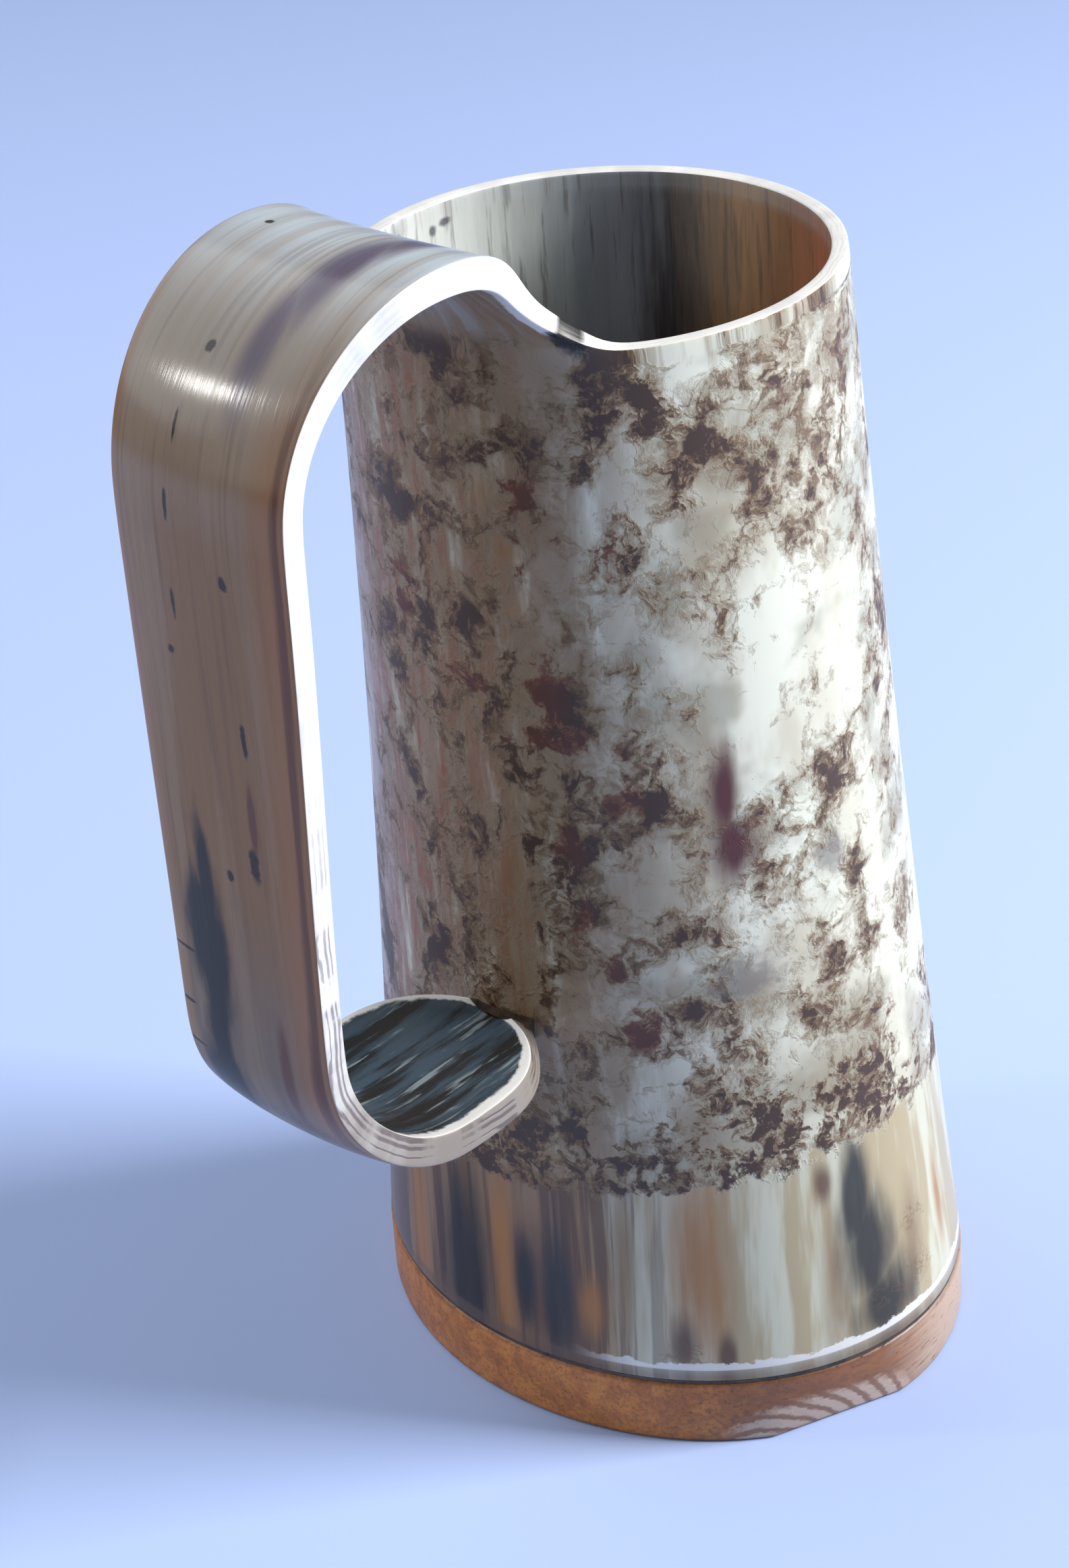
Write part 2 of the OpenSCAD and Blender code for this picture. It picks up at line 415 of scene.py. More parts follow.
# Streaks: cloudy values drawn out along the grain.
streaks, given, result = new_group("streaks", [
    ("Position", "NodeSocketVector", (0, 0, 0)), ("Width", "NodeSocketFloat", 2.0),
    ("Length", "NodeSocketFloat", 40.0), ("Shift", "NodeSocketFloat", 0.0)], "Streak")
across = maths(streaks, "DIVIDE", 1.0, given["Width"])
along = maths(streaks, "DIVIDE", 1.0, given["Length"])
squeeze = add_node(streaks, "ShaderNodeCombineXYZ", {"X": across, "Y": across, "Z": along}).outputs[0]
squeezed = add_node(streaks, "ShaderNodeVectorMath", {0: given["Position"], 1: squeeze, 2: given["Shift"]},
                    operation="MULTIPLY_ADD").outputs[0]
streak = add_node(streaks, "ShaderNodeTexNoise", {"Vector": squeezed, "Scale": 1.0, "Detail": 4.0,
                                                  "Roughness": 0.6}).outputs["Fac"]
streaks.links.new(streak, result["Streak"])

# Mark: one stain at a centre and of a half size in millimetres, its edge torn by a cloudy value.
mark, given, result = new_group("mark", [
    ("Position", "NodeSocketVector", (0, 0, 0)), ("Tear", "NodeSocketFloat", 0.5),
    ("Centre", "NodeSocketVector", (0, 0, 0)), ("Half size", "NodeSocketVector", (1, 1, 1)),
    ("Torn", "NodeSocketFloat", 2.0), ("Softness", "NodeSocketFloat", 0.3)], "Mask")
offset = add_node(mark, "ShaderNodeVectorMath", {0: given["Position"], 1: given["Centre"]},
                  operation="SUBTRACT").outputs[0]
offset = add_node(mark, "ShaderNodeVectorMath", {0: offset, 1: given["Half size"]},
                  operation="DIVIDE").outputs[0]
distance = add_node(mark, "ShaderNodeVectorMath", {0: offset}, operation="LENGTH").outputs["Value"]
tear = maths(mark, "MULTIPLY", maths(mark, "SUBTRACT", given["Tear"], 0.5), given["Torn"])
inner = maths(mark, "SUBTRACT", 1.0, given["Softness"])
mark.links.new(soft_step(mark, maths(mark, "ADD", distance, tear), 1.0, inner), result["Mask"])


def place_streaks(tree, position, width, length, shift=0.0):
    node = add_node(tree, "ShaderNodeGroup", node_tree=streaks)
    for name, value in (("Width", width), ("Length", length), ("Shift", shift)):
        node.inputs[name].default_value = value
    tree.links.new(position, node.inputs["Position"])
    return node.outputs["Streak"]


def place_marks(tree, position, tear, torn, softness, marks):
    """Mask of several marks, each (centre in metres, width, height in millimetres)."""
    mask = 0.0
    for centre, wide, tall in marks:
        node = add_node(tree, "ShaderNodeGroup", node_tree=mark)
        for name, value in (("Centre", centre * 1000), ("Half size", (wide / 2, wide / 2, tall / 2)),
                            ("Torn", torn), ("Softness", softness)):
            node.inputs[name].default_value = value
        tree.links.new(position, node.inputs["Position"])
        tree.links.new(tear, node.inputs["Tear"])
        mask = maths(tree, "MAXIMUM", mask, node.outputs["Mask"])
    return mask


def horn_places(tree):
    """Place on the straightened horn, its x, y and z, and how far the strap's near and far edges are."""
    position = add_node(tree, "ShaderNodeAttribute", attribute_name="grain").outputs["Vector"]
    edges = add_node(tree, "ShaderNodeAttribute", attribute_name="edges").outputs["Vector"]
    parts = add_node(tree, "ShaderNodeSeparateXYZ", {0: position}).outputs
    edge_parts = add_node(tree, "ShaderNodeSeparateXYZ", {0: edges}).outputs
    return position, parts["X"], parts["Y"], parts["Z"], edge_parts["X"], edge_parts["Y"]


def finish_surface(tree, colour, roughness, relief, deep, strength, sunk=False):
    """Feeds the surface its colour, roughness and relief; relief is sunk where it marks pits or gaps."""
    shader = tree.nodes["Principled BSDF"]
    bump = add_node(tree, "ShaderNodeBump", {"Height": relief, "Distance": deep, "Strength": strength},
                    invert=sunk)
    tree.links.new(colour, shader.inputs["Base Color"])
    tree.links.new(roughness, shader.inputs["Roughness"])
    tree.links.new(bump.outputs[0], shader.inputs["Normal"])


def on_strap(length, y):
    """The unbent place, in metres, of a point of the strap at a length and a y in millimetres."""
    wall_x = horn_middle(rim_height) - horn_reach_x(rim_height) + wall_drop(y / 1000)
    return Vector((wall_x, y / 1000, rim_height + length / 1000))


def wall_mark(turn, height, wide, tall):
    """A mark on the wall, at a turn in degrees and a height, with its width and height in millimetres."""
    return on_horn(turn, height / 1000), wide, tall


def strap_mark(length, y, wide, tall):
    """A mark on the strap, at a length and a y, with its width and length in millimetres."""
    return on_strap(length, y), wide, tall


cream = (0.72, 0.73, 0.60, 1)
pale_grey = (0.42, 0.42, 0.33, 1)
taupe = (0.24, 0.145, 0.070, 1)
# The next colour is a painted glow of light shining through the horn's thin edge.
glow_amber = (0.24, 0.070, 0.014, 1)
olive = (0.25, 0.175, 0.090, 1)
warm_brown = (0.150, 0.078, 0.030, 1)
red_brown = (0.155, 0.034, 0.012, 1)
dark_bark = (0.042, 0.020, 0.011, 1)
near_black = (0.010, 0.011, 0.012, 1)
slate_blue = (0.035, 0.060, 0.085, 1)
white_horn = (0.80, 0.80, 0.78, 1)

tree = bark_side.node_tree
position, side_x, side_y, height, near_edge, far_edge = horn_places(tree)
strap_edge = maths(tree, "MINIMUM", near_edge, far_edge)

# Ground: cream, greyer in clouds; by the handle taupe, partly painted shade, and a painted glow in streaks.
grey_clouds = soft_step(tree, clouds(tree, position, 14, detail=3.0), 0.46, 0.62)
ground = stain(tree, grey_clouds, cream, pale_grey)
broad_streaks = place_streaks(tree, position, 5.0, 26.0)
handle_side = maths(tree, "MULTIPLY_ADD", side_x, -0.9, times(tree, side_y, 0.35))
tan_clouds = soft_step(tree, clouds(tree, position, 11, detail=4.0, stretch=2.2, shift=27.0), 0.44, 0.62)
ground = stain(tree, times(tree, tan_clouds, times(tree, soft_step(tree, handle_side, -34.0, 18.0), 0.6)),
               ground, (0.34, 0.25, 0.14, 1))
# Taupe on the side by the handle, away from the window lamp: partly the horn's own tone, partly painted
# shade.
taupe_and_painted_shade = times(tree, soft_step(tree, handle_side, 8.0, 32.0),
                   soft_step(tree, broad_streaks, 0.28, 0.52))
ground = stain(tree, times(tree, taupe_and_painted_shade, 0.9), ground, taupe)
# Amber streaks at the far edge by the handle: a painted glow of light shining through the thin horn.
painted_edge_glow = times(tree, soft_step(tree, handle_side, 26.0, 38.0),
                  soft_step(tree, place_streaks(tree, position, 1.8, 16.0, 7.0), 0.42, 0.60))
ground = stain(tree, times(tree, painted_edge_glow, 0.85), ground, glow_amber)
tan_mask = times(tree, soft_step(tree, height, 140.0, 164.0),
                 soft_step(tree, place_streaks(tree, position, 3.0, 14.0, 3.0), 0.46, 0.60))
ground = stain(tree, times(tree, tan_mask, 0.5), ground, olive)

# Bark: one cloudy level, raised in clusters, along torn lines and at the places below. Above 0.5 it leaves
# a pale halo, higher up warm brown, and dark bark where it is thickest.
warp = add_node(tree, "ShaderNodeTexNoise",
                {"Vector": position, "Scale": 0.20, "Detail": 4.0}).outputs["Color"]
warp = add_node(tree, "ShaderNodeVectorMath", {0: warp, 1: (0.5, 0.5, 0.5)},
                operation="SUBTRACT").outputs[0]
warped = add_node(tree, "ShaderNodeVectorMath", {0: warp, 1: (6.0, 6.0, 6.0), 2: position},
                  operation="MULTIPLY_ADD").outputs[0]
tear = clouds(tree, position, 3.0, detail=6.0, roughness=0.72, shift=71.0)
soft_tear = clouds(tree, position, 3.2, detail=3.0, stretch=7.0, shift=81.0)
red_places = place_marks(tree, warped, tear, 1.2, 0.9, [
    wall_mark(206, 135, 9, 20), wall_mark(205, 122, 8, 20), wall_mark(204, 113, 15, 6),
    wall_mark(202, 148, 9, 9), wall_mark(216, 112, 9, 5), wall_mark(218, 105, 6, 7),
    wall_mark(206, 97, 6, 12), wall_mark(208, 86, 4, 12), wall_mark(213, 79, 8, 6),
    wall_mark(220, 139, 6, 9), wall_mark(243, 123, 5, 5), wall_mark(187, 120, 9, 6),
    wall_mark(217, 69, 8, 10), wall_mark(168, 130, 8, 14)])
dark_places = place_marks(tree, warped, tear, 1.2, 0.9, [
    wall_mark(234, 158, 9, 9), wall_mark(241, 153, 14, 12), wall_mark(250, 147, 10, 8),
    wall_mark(258, 142, 16, 5), wall_mark(272, 141, 16, 5), wall_mark(284, 146, 9, 14),
    wall_mark(290, 156, 6, 18), wall_mark(288, 128, 6, 22), wall_mark(232, 120, 7, 9),
    wall_mark(238, 114, 12, 5), wall_mark(226, 105, 7, 12), wall_mark(244, 100, 5, 8),
    wall_mark(262, 104, 5, 6), wall_mark(169, 127, 8, 8), wall_mark(192, 142, 22, 10),
    wall_mark(180, 128, 12, 14), wall_mark(183, 108, 8, 8), wall_mark(200, 155, 14, 9),
    wall_mark(270, 88, 14, 14), wall_mark(240, 72, 26, 9), wall_mark(180, 84, 8, 22),
    wall_mark(290, 96, 6, 26), wall_mark(262, 158, 10, 9), wall_mark(180, 156, 10, 12)])
# Where the window lamp's highlight falls on the front, bark is thinned so the horn shows pale: painted
# highlight.
bark_cleared_in_highlight = place_marks(tree, position, tear, 1.0, 0.9, [
    wall_mark(254, 112, 40, 66), wall_mark(272, 118, 28, 46), wall_mark(222, 92, 18, 18),
    wall_mark(220, 150, 18, 18), wall_mark(248, 62, 16, 16), wall_mark(222, 128, 14, 14)])
clusters = clouds(tree, position, 13, detail=3.0, stretch=1.4, shift=3.0)
patchy = clouds(tree, warped, 6.5, detail=10.0, roughness=0.70, stretch=1.2)
line_noise = clouds(tree, warped, 8.0, detail=6.0, roughness=0.62, shift=11.0)
line_gap = maths(tree, "ABSOLUTE", maths(tree, "SUBTRACT", line_noise, 0.5))
torn_lines = soft_step(tree, line_gap, 0.055, 0.0)
fine_noise = clouds(tree, warped, 3.6, detail=5.0, roughness=0.6, shift=29.0)
fine_gap = maths(tree, "ABSOLUTE", maths(tree, "SUBTRACT", fine_noise, 0.5))
level = maths(tree, "MULTIPLY_ADD", maths(tree, "SUBTRACT", clusters, 0.5), 0.55, patchy)
level = maths(tree, "MULTIPLY_ADD", torn_lines, 0.085, level)
level = maths(tree, "MULTIPLY_ADD", soft_step(tree, fine_gap, 0.05, 0.0), 0.030, level)
level = maths(tree, "MULTIPLY_ADD", maths(tree, "MAXIMUM", red_places, dark_places), 0.080, level)
# Less bark in the lamp's highlight: painted highlight.
level = maths(tree, "MULTIPLY_ADD", bark_cleared_in_highlight, -0.095, level)
# More bark towards the handle side, which also darkens that side as painted shade; less towards the front.
bark_and_shade_by_handle = maths(tree, "MULTIPLY_ADD", soft_step(tree, handle_side, -20.0, 26.0), 0.060, -0.037)
level = maths(tree, "ADD", level, bark_and_shade_by_handle)

# The smooth band above the foot: its ragged top is higher towards the front.
band_top = maths(tree, "MULTIPLY_ADD", side_y, -0.13, 34.0)
ragged = clouds(tree, position, 5, detail=5.0, roughness=0.7, shift=5.0)
band_top = maths(tree, "MULTIPLY_ADD", ragged, 12.0, band_top)
above_band = maths(tree, "SUBTRACT", height, band_top)
on_body = soft_step(tree, height, 171.0, 166.5)
bark_here = times(tree, soft_step(tree, above_band, -0.6, 0.8), on_body)
lip_line = times(tree, soft_step(tree, above_band, 3.0, 0.6),
                 soft_step(tree, clouds(tree, position, 4, detail=4.0, shift=51.0), 0.42, 0.55))
lace = times(tree, soft_step(tree, above_band, 26.0, 7.0),
             soft_step(tree, clouds(tree, position, 10, detail=2.0, shift=61.0), 0.36, 0.54))
lace_lines = soft_step(tree, clouds(tree, warped, 2.2, detail=4.0, roughness=0.62, shift=9.0), 0.44, 0.60)
level = maths(tree, "MULTIPLY_ADD", lace, times(tree, lace_lines, 0.16), level)
halo = maths(tree, "MAXIMUM", soft_step(tree, level, 0.45, 0.60), times(tree, lace, 0.45))
halo = times(tree, halo, bark_here)
bark = maths(tree, "MAXIMUM", soft_step(tree, level, 0.570, 0.640), times(tree, lip_line, 0.8))
bark = times(tree, bark, bark_here)
thick_bark = times(tree, soft_step(tree, level, 0.625, 0.700), bark_here)
colour = stain(tree, times(tree, halo, 0.66), ground, olive)
bark_tint = stain(tree, maths(tree, "MINIMUM", times(tree, red_places, 3.0), 1.0), warm_brown, red_brown)
colour = stain(tree, times(tree, bark, 0.80), colour, bark_tint)
thick_tint = stain(tree, times(tree, red_places, 0.45), dark_bark, red_brown)
colour = stain(tree, times(tree, thick_bark, 0.90), colour, thick_tint)

# Stains that show through the horn itself.
wedge = place_marks(tree, position, soft_tear, 0.7, 0.8, [
    wall_mark(240, 96, 11, 17), wall_mark(239, 104, 7, 22)])
colour = stain(tree, wedge, colour, (0.085, 0.020, 0.015, 1))
grey_patch = place_marks(tree, position, tear, 2.4, 0.8, [
    wall_mark(239, 76, 15, 10), wall_mark(263, 90, 9, 9)])
colour = stain(tree, times(tree, grey_patch, 0.6), colour, (0.16, 0.14, 0.13, 1))

# Streaks of the sanded band.
in_band = maths(tree, "SUBTRACT", 1.0, soft_step(tree, above_band, -0.6, 0.8))
tan_streaks = soft_step(tree, place_streaks(tree, position, 6.0, 80.0, 13.0), 0.42, 0.58)
band_colour = stain(tree, times(tree, tan_streaks, 0.7), (0.56, 0.56, 0.43, 1), (0.36, 0.26, 0.12, 1))
# Reddish brown at the band's edge by the handle: a painted glow of light shining through the horn.
glow_on_band_edge = soft_step(tree, maths(tree, "MULTIPLY_ADD", soft_tear, 8.0, handle_side), 24.0, 33.0)
band_colour = stain(tree, times(tree, glow_on_band_edge, 0.85), band_colour, (0.19, 0.080, 0.022, 1))
dark_band = times(tree, soft_step(tree, place_streaks(tree, position, 2.4, 90.0, 33.0), 0.46, 0.58),
                  soft_step(tree, handle_side, 8.0, 30.0))
band_colour = stain(tree, times(tree, dark_band, 0.75), band_colour, (0.07, 0.033, 0.018, 1))
for streak_colour, strength, softness, marks in (
        ((0.36, 0.15, 0.030, 1), 0.85, 0.9, [
            wall_mark(156, 20, 8, 70), wall_mark(182, 24, 7, 60), wall_mark(201, 22, 6, 16),
            wall_mark(222, 30, 14, 60), wall_mark(285, 26, 4, 60)]),
        ((0.24, 0.16, 0.085, 1), 0.8, 0.9, [
            wall_mark(208, 30, 5, 40), wall_mark(250, 24, 8, 50), wall_mark(272, 24, 7, 30)]),
        ((0.085, 0.036, 0.02, 1), 0.85, 0.8, [
            wall_mark(145, 20, 9, 70), wall_mark(164, 28, 4, 50), wall_mark(189, 22, 12, 36),
            wall_mark(218, 17, 6, 18), wall_mark(250, 41, 5, 10), wall_mark(226, 15, 4, 12)]),
        (near_black, 0.93, 0.75, [
            wall_mark(172, 18, 16, 64), wall_mark(194, 22, 7, 38), wall_mark(187, 23, 5, 24),
            wall_mark(257, 36, 9, 36), wall_mark(259, 27, 14, 34), wall_mark(262, 17, 20, 22)])):
    streak_mask = place_marks(tree, position, soft_tear, 0.7, softness, marks)
    band_colour = stain(tree, times(tree, streak_mask, strength), band_colour, streak_colour)
cracked = place_marks(tree, position, tear, 2.0, 0.6, [
    wall_mark(219, 15, 10, 8), wall_mark(268, 18, 16, 12), wall_mark(273, 28, 7, 7)])
band_cracks = times(tree, soft_step(tree, fine_gap, 0.030, 0.004), cracked)
band_colour = stain(tree, times(tree, band_cracks, 0.5), band_colour, warm_brown)
# Darker towards the foot.
darker_above_foot = times(tree, soft_step(tree, height, 13.2, 10.8), 0.6)
band_colour = stain(tree, darker_above_foot, band_colour, (0.12, 0.075, 0.05, 1))
colour = stain(tree, in_band, colour, band_colour)
chips = clouds(tree, position, 4, detail=5.0, roughness=0.7, shift=91.0)
chip_height = maths(tree, "MULTIPLY_ADD", chips, 5.0, 10.9)
chipped = times(tree, soft_step(tree, maths(tree, "SUBTRACT", height, chip_height), 0.25, -0.25),
                soft_step(tree, handle_side, 30.0, 22.0))
chipped = times(tree, chipped, soft_step(tree, height, 11.2, 11.7))
colour = stain(tree, times(tree, chipped, 0.85), colour, white_horn)

# The strap's inner face has lost its bark: taupe and cream streaks, running into slate and black at the tab.
strap_streaks = place_streaks(tree, position, 2.2, 30.0, 19.0)
strap_colour = stain(tree, soft_step(tree, strap_streaks, 0.36, 0.62), (0.30, 0.25, 0.20, 1), taupe)
tab_streaks = stain(tree, soft_step(tree, place_streaks(tree, position, 2.4, 22.0, 23.0), 0.40, 0.58),
                    near_black, slate_blue)
# Pale blue-grey streaks on the glossy tab are painted highlights.
tab_streaks = stain(tree, soft_step(tree, place_streaks(tree, position, 1.2, 12.0, 37.0), 0.56, 0.68),
                    tab_streaks, (0.17, 0.21, 0.23, 1))
to_tab = soft_step(tree, maths(tree, "MULTIPLY_ADD", strap_streaks, 14.0, height), 288.0, 300.0)
strap_colour = stain(tree, to_tab, strap_colour, tab_streaks)
lip_white = soft_step(tree, maths(tree, "MULTIPLY_ADD", tear, 2.4, strap_edge), 2.9, 2.2)
strap_colour = stain(tree, times(tree, lip_white, 0.9), strap_colour, white_horn)
colour = stain(tree, soft_step(tree, height, 166.5, 171.0), colour, strap_colour)
torn_height = maths(tree, "MULTIPLY_ADD", tear, 1.2, height)
rim_gap = maths(tree, "ABSOLUTE", maths(tree, "SUBTRACT", torn_height, 165.3))
away_from_handle = soft_step(tree, maths(tree, "MULTIPLY_ADD", tear, -22.0, handle_side), -18.0, -30.0)
rim_line = times(tree, soft_step(tree, rim_gap, 0.6, 0.15), times(tree, on_body, away_from_handle))
colour = stain(tree, times(tree, rim_line, 0.75), colour, dark_bark)

# The notch where the strap's near edge leaves the rim is not modelled: near black is painted there as its
# shade.
notch_shade = place_marks(tree, position, tear, 1.6, 0.5, [strap_mark(2.5, -21, 6, 5)])
colour = stain(tree, notch_shade, colour, near_black)
relief = maths(tree, "MULTIPLY_ADD", halo, 0.4, times(tree, bark, 0.6))
finish_surface(tree, colour, maths(tree, "MULTIPLY_ADD", bark, 0.22, 0.24), relief, 0.0003, 0.6)

# Polished side: inside the cup it runs from white through grey and black to amber; on the strap it is taupe.
tree = polished_side.node_tree
position, side_x, side_y, height, near_edge, far_edge = horn_places(tree)
broad = place_streaks(tree, position, 4.0, 70.0)
narrow = place_streaks(tree, position, 1.3, 40.0, 5.0)
round_cup = maths(tree, "MULTIPLY_ADD", side_x, 0.66, times(tree, side_y, -0.75))
round_cup = maths(tree, "MULTIPLY_ADD", maths(tree, "SUBTRACT", broad, 0.5), 14.0, round_cup)
cup_colour = colour_run(tree, round_cup, -34.0, 30.0, [
    (-34, (0.70, 0.74, 0.74)), (-24, (0.60, 0.65, 0.64)), (-15, (0.40, 0.44, 0.44)),
    (-7, (0.22, 0.25, 0.28)), (2, (0.16, 0.17, 0.20)), (7, (0.035, 0.030, 0.034)),
    (12, (0.11, 0.075, 0.055)), (18, (0.28, 0.15, 0.065)), (23, (0.20, 0.10, 0.05)),
    (30, (0.32, 0.11, 0.06))])
cup_colour = stain(tree, times(tree, soft_step(tree, narrow, 0.52, 0.66), 0.45), cup_colour,
                   (0.03, 0.02, 0.018, 1))
# At the crest of the arch, up to 192, the pale bluish grey is painted sky light; the strap's own colour there
# is grey.
strap_colour = colour_run(tree, height, 166.0, 346.0, [
    (166, (0.50, 0.58, 0.66)), (192, (0.46, 0.52, 0.58)), (206, (0.32, 0.28, 0.24)),
    (228, (0.215, 0.120, 0.052)), (276, (0.22, 0.120, 0.050)), (296, (0.17, 0.125, 0.095)),
    (346, (0.075, 0.055, 0.045))])
strap_colour = stain(tree, times(tree, soft_step(tree, broad, 0.46, 0.62), 0.35), strap_colour,
                     (0.29, 0.21, 0.145, 1))
strap_colour = stain(tree, times(tree, soft_step(tree, narrow, 0.50, 0.70), 0.30), strap_colour,
                     (0.085, 0.050, 0.033, 1))
below_crest = soft_step(tree, height, 200.0, 222.0)
near_tint = times(tree, soft_step(tree, near_edge, 7.0, 2.0), below_crest)
strap_colour = stain(tree, times(tree, near_tint, 0.65), strap_colour, (0.30, 0.135, 0.055, 1))
wobble = maths(tree, "MULTIPLY_ADD", narrow, 1.6, -0.8)
near_line = maths(tree, "ABSOLUTE", maths(tree, "SUBTRACT", maths(tree, "ADD", near_edge, wobble), 1.3))
near_line = times(tree, soft_step(tree, near_line, 0.9, 0.2), below_crest)
strap_colour = stain(tree, times(tree, near_line, 0.8), strap_colour, (0.09, 0.035, 0.022, 1))
# The orange-brown line along the far edge is a painted glow of warm light shining through the strap's edge.
far_edge_glow = times(tree, soft_step(tree, maths(tree, "ADD", far_edge, wobble), 2.0, 1.0),
                 soft_step(tree, height, 190.0, 215.0))
strap_colour = stain(tree, times(tree, far_edge_glow, 0.7), strap_colour, (0.28, 0.14, 0.06, 1))
soft_tear = clouds(tree, position, 5.0, detail=3.0, stretch=3.0, shift=81.0)
tear = clouds(tree, position, 2.0, detail=4.0, roughness=0.6, shift=71.0)
purple = place_marks(tree, position, soft_tear, 0.4, 0.75, [
    strap_mark(18, -14.8, 8, 32), strap_mark(30, -13.2, 8.5, 30), strap_mark(41, -11.6, 7, 24)])
strap_colour = stain(tree, times(tree, purple, 0.85), strap_colour, (0.070, 0.045, 0.10, 1))
black = place_marks(tree, position, soft_tear, 1.6, 0.55, [
    strap_mark(125, -0.5, 8.5, 46), strap_mark(108, -1.5, 3.5, 24), strap_mark(139, 0, 10, 22)])
strap_colour = stain(tree, times(tree, black, 0.93), strap_colour, near_black)
tan_strip = place_marks(tree, position, soft_tear, 1.0, 0.5, [strap_mark(130, 6, 5.5, 40)])
strap_colour = stain(tree, times(tree, tan_strip, 0.7), strap_colour, (0.30, 0.19, 0.095, 1))
under_bend = place_marks(tree, position, soft_tear, 1.0, 0.8, [
    strap_mark(152, -10, 24, 26), strap_mark(150, 5, 14, 30)])
strap_colour = stain(tree, times(tree, under_bend, 0.7), strap_colour, (0.040, 0.026, 0.022, 1))
red_streaks = place_marks(tree, position, soft_tear, 1.2, 0.6, [
    strap_mark(135, -11.5, 3, 20), strap_mark(137, -16, 3, 24), strap_mark(98, -11, 1.6, 12)])
strap_colour = stain(tree, times(tree, red_streaks, 0.8), strap_colour, (0.10, 0.032, 0.02, 1))
pits = place_marks(tree, position, tear, 1.5, 0.5, [
    strap_mark(26, 3.7, 1.8, 1.4), strap_mark(43, -4.8, 1.6, 1.8), strap_mark(66.7, -10.8, 1.5, 2.2),
    strap_mark(78, -0.7, 1.4, 1.6), strap_mark(71.5, -2.2, 0.8, 5), strap_mark(87, -11.2, 1.2, 6),
    strap_mark(104, -10.5, 2.0, 6), strap_mark(106.7, -6.3, 1.4, 2), strap_mark(59, -2.7, 0.8, 4),
    strap_mark(121.3, 4.6, 4.5, 0.7), strap_mark(129.7, 5, 4.5, 0.7), strap_mark(135.5, 5, 4.5, 0.7),
    strap_mark(51, -3.5, 0.7, 4)])
strap_colour = stain(tree, times(tree, pits, 0.95), strap_colour, (0.02, 0.013, 0.01, 1))
colour = stain(tree, soft_step(tree, height, 163.0, 174.0), cup_colour, strap_colour)
rim_stains = place_marks(tree, position, tear, 1.0, 0.6, [
    wall_mark(99, 164, 3.5, 5), wall_mark(86, 163, 2, 3), wall_mark(82, 164, 3, 2.5)])
colour = stain(tree, times(tree, rim_stains, 0.8), colour, (0.06, 0.06, 0.09, 1))
scratches = place_streaks(tree, position, 0.5, 25.0, 3.0)
finish_surface(tree, colour, maths(tree, "MULTIPLY_ADD", narrow, 0.16, 0.10), scratches, 0.0001, 0.25)

# Cut edges: white horn, with thin dark layers that follow the faces and open up towards the tab.
tree = cut_edge.node_tree
position, _, _, height, _, _ = horn_places(tree)
depth = add_node(tree, "ShaderNodeAttribute", attribute_name="depth").outputs["Fac"]
wavy_depth = maths(tree, "MULTIPLY_ADD", clouds(tree, position, 9.0, detail=4.0, stretch=2.0), 1.1, depth)
layer_lines = 0.0
for layer, width in ((0.72, 0.09), (1.02, 0.13), (1.42, 0.06)):
    gap = maths(tree, "ABSOLUTE", maths(tree, "SUBTRACT", wavy_depth, layer))
    layer_lines = maths(tree, "MAXIMUM", layer_lines, soft_step(tree, gap, width, width * 0.3))
ragged_height = maths(tree, "MULTIPLY_ADD", clouds(tree, position, 8, detail=3.0), 30.0, height)
to_tab = soft_step(tree, ragged_height, 270.0, 300.0)
broken = soft_step(tree, clouds(tree, position, 5.0, detail=4.0, shift=13.0), 0.40, 0.54)
layer_lines = times(tree, times(tree, layer_lines, broken),
                    maths(tree, "MULTIPLY_ADD", to_tab, 0.55, 0.10))
edge_clouds = soft_step(tree, clouds(tree, position, 6, detail=4.0, shift=7.0), 0.40, 0.66)
colour = stain(tree, edge_clouds, white_horn, (0.66, 0.66, 0.66, 1))
ragged_height = maths(tree, "MULTIPLY_ADD", clouds(tree, position, 6, detail=5.0, shift=3.0), 44.0, height)
near_tab = soft_step(tree, ragged_height, 308.0, 336.0)
colour = stain(tree, times(tree, near_tab, 0.85), colour, (0.17, 0.135, 0.10, 1))
colour = stain(tree, layer_lines, colour, (0.055, 0.028, 0.035, 1))
# Near black painted at the unmodelled notch by the strap's root, as its shade.
notch_shade = place_marks(tree, position, edge_clouds, 0.6, 0.5, [
    strap_mark(2.5, -21, 4.4, 3.0), wall_mark(236, 165.2, 1.8, 1.4)])
colour = stain(tree, notch_shade, colour, near_black)
finish_surface(tree, colour, maths(tree, "MULTIPLY_ADD", edge_clouds, 0.2, 0.3), layer_lines, 0.0002, 0.5,
               sunk=True)


# ---- The wooden foot ----
# A plug of oiled hardwood pressed into the horn, with a lip the size of the horn's end. The lip's lower edge
# is eased by hand and has one small flat pared on it, and its grain runs level.

plug_top = 0.023
lip_top = 0.0105
foot_facets = 96
plug_inset = 0.0045
bpy.ops.object.select_all(action="DESELECT")
bpy.ops.mesh.primitive_circle_add(vertices=foot_facets, radius=1, location=(0, 0, 0), fill_type="NGON")
foot = bpy.context.object
foot.name = "carved_foot"
bpy.ops.object.mode_set(mode="EDIT")
bpy.ops.mesh.select_all(action="SELECT")
bpy.ops.transform.resize(value=(horn_top[0], horn_top[1], 1))
bpy.ops.mesh.extrude_region_move(TRANSFORM_OT_translate={"value": (0, 0, lip_top)})
plug_x = horn_reach_x(plug_top) - plug_inset
plug_y = horn_reach_y(plug_top) - plug_inset
bpy.ops.mesh.extrude_region_move(TRANSFORM_OT_translate={"value": (0, 0, 0)})
bpy.ops.transform.resize(value=(plug_x / horn_top[0], plug_y / horn_top[1], 1), center_override=(0, 0, 0))
